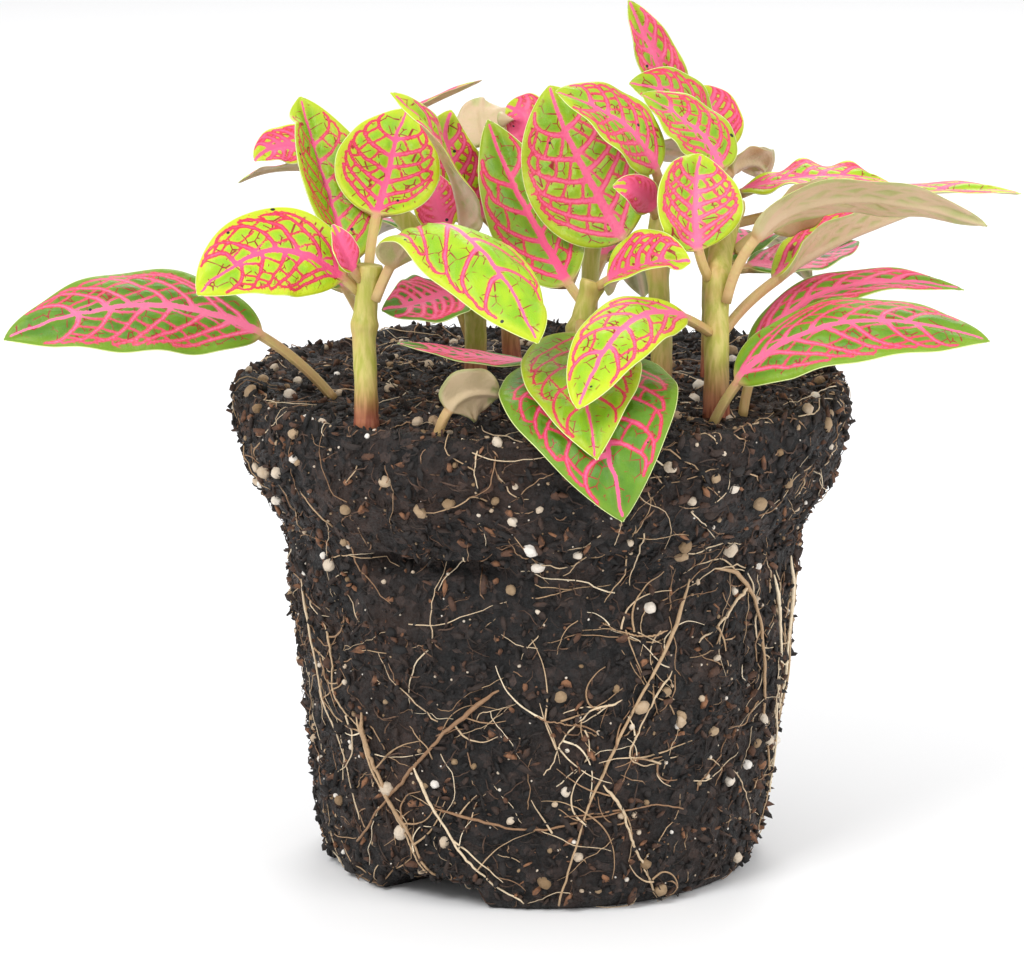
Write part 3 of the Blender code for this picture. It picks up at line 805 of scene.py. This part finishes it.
def wandering(rng, count, steps, length, wander, lift):
    """Short lines that wander over the soil and lift off it a little."""
    run, angle = scatter_places(rng, count)
    heading = rng.uniform(0, 2 * math.pi, count)
    stride = rng.uniform(*length, count) / (steps - 1)
    runs, angles = [run], [angle]
    for _ in range(steps - 1):
        heading = heading + rng.normal(0, wander, count)
        radius = np.maximum(outline_at(runs[-1], OUTLINE)[0], 6)
        runs.append(np.clip(runs[-1] + stride * np.sin(heading), FOOT_END + 1, RUN_END - 1))
        angles.append(angles[-1] + stride * np.cos(heading) / radius)
    place, normal = on_ball(np.stack(runs, 1), np.stack(angles, 1))
    way = np.linspace(0, 1, steps)
    share = rng.uniform(0, 1, (count, 1)) * np.sin(way * math.pi * rng.uniform(0.6, 1.6, (count, 1)))
    return place + normal * (lift[0] + (lift[1] - lift[0]) * share)[..., None]


def make_fibres(material):
    rng = np.random.default_rng(13)
    count = 5200
    taper = np.array([0.6, 1, 1, 0.9, 0.8, 0.35])
    paths = wandering(rng, count, len(taper), (1.2, 6.0), 0.35, (-0.1, 0.8))
    radii = rng.uniform(0.05, 0.16, (count, 1)) * taper
    points, faces, number = tubes(paths, radii, 3)
    tone = rng.uniform(0, 1, count)[number]
    new_piece("peat_fibres", points, faces, material, dict(tone=tone))


# The roots that show, as (degrees round from the front, height) down their length, and their radius.
MAIN_ROOTS = [
    ([(-47, 31), (-46, 27), (-41, 18), (-35, 11), (-29, 4)], 0.45),
    ([(-49, 30), (-45, 24), (-39, 15), (-31, 5)], 0.32),
    ([(-10, 38), (-22, 31), (-33, 23), (-41, 18), (-48, 12), (-54, 8)], 0.42),
    ([(-32, 24), (-27, 17), (-19, 9), (-11, 4), (-5, 1.5)], 0.30),
    ([(-27, 17), (-20, 16.5), (-12, 15), (-2, 13), (4, 14), (19, 17.5), (30, 17.5), (36, 16)], 0.26),
    ([(33, 55), (29, 46), (22, 35), (17, 28), (12, 21), (8, 10), (5, 5), (4, 1.5)], 0.36),
    ([(40, 56), (46, 55), (51, 52.5), (57, 47), (62, 38), (63, 30), (70, 22), (74, 17)], 0.40),
    ([(51, 52), (45, 48), (37, 44)], 0.33),
    ([(14, 22), (19, 17.5), (21, 13), (26, 7), (31, 1.8)], 0.30),
    ([(62, 52), (68, 44), (71, 36), (73, 26), (77, 14)], 0.34),
    ([(70, 54), (74, 45), (76, 36), (77, 24), (80, 12)], 0.38),
    ([(78, 50), (77, 40), (80, 30), (79, 20), (82, 10)], 0.34),
    ([(18, 36), (10, 34), (4, 30), (0, 24)], 0.20),
    ([(28, 47), (20, 47), (13, 49)], 0.20),
    ([(30, 40), (22, 30), (20, 26), (26, 24), (34, 25)], 0.20),
    ([(-2, 34), (6, 33), (12, 30)], 0.16),
    ([(-60, 44), (-56, 38), (-57, 33), (-50, 28), (-44, 27)], 0.22),
    ([(-70, 50), (-66, 42), (-64, 34), (-58, 24), (-52, 12)], 0.24),
    ([(110, 50), (116, 40), (114, 28), (122, 14), (128, 4)], 0.40),
    ([(150, 46), (158, 36), (152, 24), (166, 12), (172, 3)], 0.36),
    ([(-170, 52), (-162, 40), (-166, 28), (-150, 14), (-146, 4)], 0.42),
    ([(-120, 48), (-112, 36), (-118, 24), (-104, 12), (-98, 4)], 0.38),
    ([(-140, 30), (-126, 26), (-112, 24), (-98, 20)], 0.28),
]
ROOT_STEPS = 40
ROOT_THINNED = 0.8
PER_DEGREE = math.radians(1) * NECK_RADIUS


def rooted(route):
    """A route of (arc length round, height) as even points on the soil, smoothed."""
    flat = resample(route, ROOT_STEPS)
    place, normal = on_ball(run_at_height(flat[:, 1]), flat[:, 0] / NECK_RADIUS)
    for _ in range(4):
        place[1:-1] = (place[:-2] + 2 * place[1:-1] + place[2:]) / 4
    return place, normal, flat


def main_root(rng, route, radius):
    """One root on its route, lying a little off the soil: its path, radii, flat route and lift."""
    place, normal, flat = rooted(np.array(route, float) * [PER_DEGREE, 1])
    wobble = np.cumsum(rng.normal(0, 0.12, ROOT_STEPS))
    wobble -= np.linspace(wobble[0], wobble[-1], ROOT_STEPS)
    sideways = unit(np.cross(normal, np.gradient(place, axis=0)))
    lift = radius * 0.5 + 0.35 + 0.3 * np.sin(np.linspace(0, rng.uniform(4, 9), ROOT_STEPS))
    taper = np.linspace(1.15, 0.55, ROOT_STEPS) * (1 + 0.12 * np.sin(np.linspace(0, 14, ROOT_STEPS)))
    tip = np.clip(np.linspace(0, 6, ROOT_STEPS) + 0.4, 0, 1)
    path = place + sideways * wobble[:, None] + normal * lift[:, None]
    return path, ROOT_THINNED * radius * taper * tip, flat, lift.mean()


def side_root(rng, at, lift):
    """A fine root that leaves a main one at a flat place."""
    heading = rng.uniform(0, 2 * math.pi)
    reach = rng.uniform(4, 13)
    bend = rng.normal(0, 0.9)
    way = np.linspace(0, 1, 5)[:, None]
    route = at + reach * way * np.concatenate([np.cos(heading + bend * way), np.sin(heading + bend * way)], 1)
    route[:, 1] = np.clip(route[:, 1], 1.5, 60)
    place, normal, _ = rooted(route)
    rise = np.interp(np.linspace(0, 1, ROOT_STEPS), [0, 0.2, 1], [lift, 0.3, rng.uniform(0.0, 0.8)])
    return place + normal * rise[:, None], rng.uniform(0.1, 0.2) * np.linspace(1.0, 0.35, ROOT_STEPS)


def make_roots(material):
    rng = np.random.default_rng(14)
    found = []
    for route, radius in MAIN_ROOTS:
        path, radii, flat, lift = main_root(rng, route, radius)
        found.append((path, radii))
        for start in rng.uniform(0.1, 0.9, rng.integers(4, 8)):
            found.append(side_root(rng, flat[int(start * ROOT_STEPS)], lift))
    paths, radii = (np.array(part) for part in zip(*found))
    points, faces, number = tubes(paths, radii, 7)
    tone = rng.uniform(0, 1, len(paths))[number]
    new_piece("roots", points, faces, material, dict(tone=tone))


def make_rootlets(material):
    rng = np.random.default_rng(15)
    count, steps = 520, 14
    paths = wandering(rng, count, steps, (4.0, 18.0), 0.22, (0.05, 0.9))
    radii = rng.uniform(0.06, 0.15, (count, 1)) * np.linspace(1, 0.45, steps)
    points, faces, number = tubes(paths, radii, 5)
    tone = rng.uniform(0, 1, count)[number]
    new_piece("rootlets", points, faces, material, dict(tone=tone))


# ---- Materials ----

def srgb(*values):
    """A colour as it is seen on a screen, in the linear values that a shader takes."""
    return tuple(v / 12.92 if v <= 0.04045 else ((v + 0.055) / 1.055) ** 2.4 for v in values) + (1.0,)


class Graph:
    """The nodes of one material. Each method adds a node and returns its output."""

    def __init__(self, name):
        self.material = bpy.data.materials.new(name)
        self.material.use_nodes = True
        self.tree = self.material.node_tree
        self.shader = self.tree.nodes["Principled BSDF"]

    def fill(self, node, inputs):
        """Link or set a node's inputs, which are given by name or number; None leaves one alone."""
        for key, value in inputs.items():
            if isinstance(value, bpy.types.NodeSocket):
                self.tree.links.new(value, node.inputs[key])
            elif value is not None:
                node.inputs[key].default_value = value

    def add(self, kind, inputs, output=0, **settings):
        node = self.tree.nodes.new("ShaderNode" + kind)
        for key, value in settings.items():
            setattr(node, key, value)
        self.fill(node, inputs)
        return node.outputs[output]

    def field(self, name, output="Fac"):
        return self.add("Attribute", {}, output, attribute_name=name)

    def object_place(self):
        return self.add("TexCoord", {}, "Object")

    def math(self, operation, first, second=0.0, third=0.0):
        return self.add("Math", {0: first, 1: second, 2: third}, operation=operation)

    def blend(self, share, first, second):
        """A colour that goes from first to second."""
        return self.add("Mix", {0: share, 6: first, 7: second}, 2, data_type="RGBA")

    def ramp(self, value, low, high, first=0.0, last=1.0):
        """A smooth change of a value from first at low to last at high."""
        inputs = dict(enumerate((value, low, high, first, last)))
        return self.add("MapRange", inputs, interpolation_type="SMOOTHSTEP")

    def noise(self, scale, detail=2.0, vector=None, roughness=0.5):
        place = vector or self.object_place()
        inputs = dict(Vector=place, Scale=scale, Detail=detail, Roughness=roughness)
        return self.add("TexNoise", inputs, "Fac")

    def cells(self, scale, vector=None, feature="F1", output="Distance"):
        place = vector or self.object_place()
        return self.add("TexVoronoi", dict(Vector=place, Scale=scale), output, feature=feature)

    def bump(self, height, distance, strength=1.0, before=None):
        inputs = dict(Height=height, Distance=distance, Strength=strength, Normal=before)
        return self.add("Bump", inputs, "Normal")

    def colours(self, value, stops):
        """A colour ramp through (position, red, green, blue) stops."""
        node = self.tree.nodes.new("ShaderNodeValToRGB")
        self.fill(node, dict(Fac=value))
        elements = node.color_ramp.elements
        while len(elements) < len(stops):
            elements.new(0.5)
        for element, (position, *colour) in zip(elements, stops):
            element.position = position
            element.color = srgb(*colour)
        return node.outputs["Color"]

    def finish(self, colour, roughness, normal=None):
        self.fill(self.shader, {"Base Color": colour, "Roughness": roughness, "Normal": normal})
        return self.material


# Colours of the leaves: lighter and darker patches, then young and old, then deep and pale.
LIME = srgb(0.54, 0.75, 0.02), srgb(0.67, 0.81, 0.04)
DARK_GREEN = srgb(0.13, 0.37, 0.03), srgb(0.21, 0.46, 0.05)
UNDERSIDE = srgb(0.80, 0.74, 0.56), srgb(0.70, 0.72, 0.45)
NEAR_MARGIN = srgb(0.80, 0.84, 0.08), srgb(0.29, 0.52, 0.09)
BESIDE_VEIN = srgb(0.86, 0.76, 0.18), srgb(0.36, 0.48, 0.14)
CRIMSON = srgb(0.80, 0.10, 0.20), srgb(0.88, 0.30, 0.42)
PINK = srgb(0.93, 0.28, 0.50), srgb(0.94, 0.52, 0.66)
STALK = srgb(0.74, 0.70, 0.40), srgb(0.80, 0.56, 0.45)
VEINLET, MARGIN_HAIRS, SPECK = srgb(0.60, 0.12, 0.10), srgb(0.88, 0.92, 0.62), srgb(0.07, 0.06, 0.04)
OLD_UNDERSIDE, VEIN_BELOW = srgb(0.52, 0.55, 0.32), srgb(0.86, 0.72, 0.62)


def leaf_material():
    """Green with a net of pink veins above, tan below. All sizes are millimetres on the flat leaf."""
    g = Graph("leaf")
    flat = g.field("flat", "Vector")
    vein, margin, rib, along = g.field("vein"), g.field("margin"), g.field("rib"), g.field("along")
    green, pale, under = g.field("green"), g.field("pale"), g.field("under")

    ragged = g.noise(2.2, 3.0, flat)
    vein_edge = g.math("ADD", vein, g.math("MULTIPLY_ADD", ragged, 0.34, -0.17))
    vein_mask = g.ramp(vein_edge, 0.05, -0.07)
    halo = g.ramp(vein_edge, 0.42, 0.02)
    net = g.ramp(g.cells(0.42, flat, "DISTANCE_TO_EDGE"), 0.045, 0.022)
    broken = g.ramp(g.noise(0.55, 1.0, flat), 0.46, 0.52)
    near_vein, inside = g.ramp(vein, 2.2, 0.7), g.ramp(margin, 0.9, 1.3)
    veinlet = g.math("MULTIPLY", net, g.math("MULTIPLY", broken, g.math("MULTIPLY", near_vein, inside)))

    patches = g.noise(0.22, 2.0, flat)
    patch = g.ramp(patches, 0.35, 0.7)
    base = g.blend(green, g.blend(patch, *LIME), g.blend(patch, *DARK_GREEN))
    light = g.blend(green, *NEAR_MARGIN)
    base = g.blend(g.math("MULTIPLY", g.ramp(margin, 2.4, 0.6), 0.75), base, light)
    base = g.blend(g.math("MULTIPLY", halo, 0.4), base, g.blend(green, *BESIDE_VEIN))
    speckle = g.noise(6.0, 3.0, flat)
    base = g.blend(g.ramp(speckle, 0.42, 0.75, 0.0, 0.25), base, light)

    to_pink = g.math("MAXIMUM", g.ramp(vein_edge, -0.08, -0.36), g.ramp(rib, 2.0, 0.4))
    vein_colour = g.blend(to_pink, g.blend(pale, *CRIMSON), g.blend(pale, *PINK))
    upper = g.blend(veinlet, base, VEINLET)
    upper = g.blend(vein_mask, upper, vein_colour)
    upper = g.blend(g.ramp(margin, 0.16, 0.08), upper, MARGIN_HAIRS)
    upper = g.blend(g.ramp(g.cells(0.16, flat), 0.05, 0.04), upper, SPECK)

    below = g.blend(g.ramp(patches, 0.3, 0.7), *UNDERSIDE)
    below = g.blend(g.math("MULTIPLY", green, 0.6), below, OLD_UNDERSIDE)
    below = g.blend(g.math("MULTIPLY", g.ramp(vein, 0.5, -0.2), 0.6), below, VEIN_BELOW)
    stalk = g.blend(g.noise(0.5, 3.0, flat), *STALK)
    colour = g.blend(under, upper, below)
    colour = g.blend(g.math("MULTIPLY", g.ramp(along, 0.05, 0.0), 0.9), colour, stalk)

    grain = g.bump(g.cells(5.5, flat), 0.00006, 0.5)
    normal = g.bump(g.noise(1.4, 4.0, flat), 0.00025, 0.5, grain)
    return g.finish(colour, g.ramp(speckle, 0.3, 0.7, 0.38, 0.52), normal)


def stem_material():
    """Streaked along the stem: green, and brown pink towards the foot."""
    g = Graph("stem_skin")
    stretched = g.add("Mapping", dict(Vector=g.object_place(), Scale=(1.0, 1.0, 0.12)))
    streaks = g.noise(1300.0, 4.0, stretched)
    green = g.blend(g.ramp(streaks, 0.3, 0.7), srgb(0.66, 0.66, 0.26), srgb(0.78, 0.73, 0.42))
    foot = g.blend(g.ramp(streaks, 0.35, 0.65), srgb(0.55, 0.27, 0.20), srgb(0.74, 0.47, 0.34))
    colour = g.blend(g.ramp(g.field("rise"), 0.32, 0.02), green, foot)
    blush = g.ramp(g.noise(160.0, 2.0), 0.5, 0.75, 0.0, 0.5)
    colour = g.blend(blush, colour, srgb(0.82, 0.55, 0.42))
    fine = g.bump(streaks, 0.0002, 0.6)
    return g.finish(colour, 0.5, g.bump(g.noise(2600.0, 3.0), 0.00008, 0.7, fine))


def soil_material():
    g = Graph("peat")
    coarse, fine = g.cells(620.0, output="Color"), g.noise(1500.0, 5.0, roughness=0.7)
    tone = g.math("ADD", g.math("MULTIPLY", coarse, 0.55), g.math("MULTIPLY", fine, 0.45))
    # Dark peat of random tone. The palest, grey stops at the top of this ramp are painted highlights: flecks
    # that stand in for light glinting off the peat.
    colour = g.colours(tone, [(0.30, 0.03, 0.028, 0.028), (0.55, 0.11, 0.09, 0.085),
                              (0.70, 0.23, 0.185, 0.17), (0.86, 0.45, 0.37, 0.33)])
    brown = g.ramp(g.noise(55.0, 2.0), 0.5, 0.75, 0.0, 0.35)
    colour = g.blend(brown, colour, srgb(0.30, 0.19, 0.13))
    normal = g.bump(fine, 0.0007, 1.0, g.bump(g.cells(900.0), 0.0006))
    return g.finish(colour, g.ramp(fine, 0.35, 0.65, 0.45, 0.95), normal)


# What lies in the soil: name of its material, roughness, scale of its bumps, and colours by tone.
BITS = {
    "crumbs": ("peat_crumb", 0.75, 1500.0,
               [(0.0, 0.04, 0.035, 0.035), (0.45, 0.13, 0.105, 0.095), (0.75, 0.22, 0.16, 0.13),
                (0.93, 0.36, 0.24, 0.17), (1.0, 0.55, 0.38, 0.26)]),
    "fibres": ("peat_fibre", 0.7, 1800.0,
               [(0.0, 0.09, 0.07, 0.06), (0.5, 0.20, 0.15, 0.12), (0.8, 0.38, 0.28, 0.22),
                (0.95, 0.62, 0.48, 0.36), (1.0, 0.80, 0.68, 0.54)]),
    "perlite": ("perlite_grain", 0.85, 1600.0,
                [(0.0, 0.52, 0.42, 0.30), (0.35, 0.70, 0.60, 0.48), (0.7, 0.84, 0.78, 0.70),
                 (1.0, 0.93, 0.91, 0.88)]),
    "roots": ("root_skin", 0.6, 1400.0,
              [(0.0, 0.56, 0.42, 0.30), (0.4, 0.72, 0.60, 0.46), (0.8, 0.86, 0.77, 0.64),
               (1.0, 0.93, 0.86, 0.74)]),
}


def bits_material(name, roughness, bump_scale, stops):
    g = Graph(name)
    tone = g.math("ADD", g.field("tone"), g.math("MULTIPLY_ADD", g.noise(900.0, 3.0), 0.3, -0.15))
    return g.finish(g.colours(tone, stops), roughness, g.bump(g.noise(bump_scale, 4.0), 0.0004))


def scene_materials():
    bits = {key: bits_material(*values) for key, values in BITS.items()}
    return dict(leaf=leaf_material(), stem=stem_material(), soil=soil_material(), **bits)


# ---- Stage ----

FLOOR_SIZE = 6.0
SKY_STRENGTH = 0.78
LIGHTS = {                # where each stands, where it points, how wide it is, and its watts
    "key": ((-0.55, -0.75, 0.95), (0, 0, 0.09), 0.55, 9.0),
    "fill": ((0.8, -0.55, 0.6), (0, 0, 0.08), 0.7, 4.0),
    "back": ((0.1, 0.9, 0.9), (0, 0, 0.1), 0.6, 5.0),
}
CAMERA_PLACE = (-0.005, -0.796, 0.235)
CAMERA_TILT = 12.2        # degrees that it looks down
CAMERA_LENS, CAMERA_SENSOR = 173.7, 36.0


def make_floor():
    bm = bmesh.new()
    bmesh.ops.create_grid(bm, x_segments=2, y_segments=2, size=FLOOR_SIZE)
    mesh = bpy.data.meshes.new("floor")
    bm.to_mesh(mesh)
    bm.free()
    floor = bpy.data.objects.new("floor", mesh)
    bpy.context.scene.collection.objects.link(floor)
    g = Graph("floor_paint")
    paint = g.blend(g.noise(3.0), srgb(0.955, 0.955, 0.96), srgb(0.965, 0.965, 0.965))
    mesh.materials.append(g.finish(paint, 0.9))


def make_light(name, place, target, size, watts):
    data = bpy.data.lights.new(name, "AREA")
    data.shape = "DISK"
    data.size = size
    data.energy = watts
    light = bpy.data.objects.new(name, data)
    bpy.context.scene.collection.objects.link(light)
    light.location = place
    light.rotation_euler = (Vector(target) - Vector(place)).to_track_quat("-Z", "Y").to_euler()


def make_stage():
    make_floor()
    scene = bpy.context.scene
    scene.world = bpy.data.worlds.new("studio")
    scene.world.use_nodes = True
    sky = scene.world.node_tree.nodes["Background"]
    sky.inputs["Color"].default_value = (1, 1, 1, 1)
    sky.inputs["Strength"].default_value = SKY_STRENGTH
    scene.view_settings.view_transform = "Standard"
    for name, values in LIGHTS.items():
        make_light(name, *values)
    camera_data = bpy.data.cameras.new("camera")
    camera_data.sensor_width = CAMERA_SENSOR
    camera_data.lens = CAMERA_LENS
    camera = bpy.data.objects.new("camera", camera_data)
    camera.location = CAMERA_PLACE
    camera.rotation_euler = (math.radians(90 - CAMERA_TILT), 0, 0)
    scene.collection.objects.link(camera)
    scene.camera = camera


# ---- Plant ----

def main():
    make_stage()
    materials = scene_materials()
    for note_leaves in (left_shoot, middle_shoots, centre_shoot, right_shoot, back_shoots,
                        back_right_shoot, leaves_from_the_soil):
        note_leaves()
    for number, (name, spec) in enumerate(LEAVES.items()):
        make_leaf(name, spec, materials["leaf"], number)
    for number, (name, (path, radius)) in enumerate(STEMS.items()):
        make_stem(name, path, radius, materials["stem"], number)
    make_ball(materials["soil"])
    make_crumbs(materials["crumbs"])
    make_fibres(materials["fibres"])
    make_perlite(materials["perlite"])
    make_roots(materials["roots"])
    make_rootlets(materials["roots"])


main()
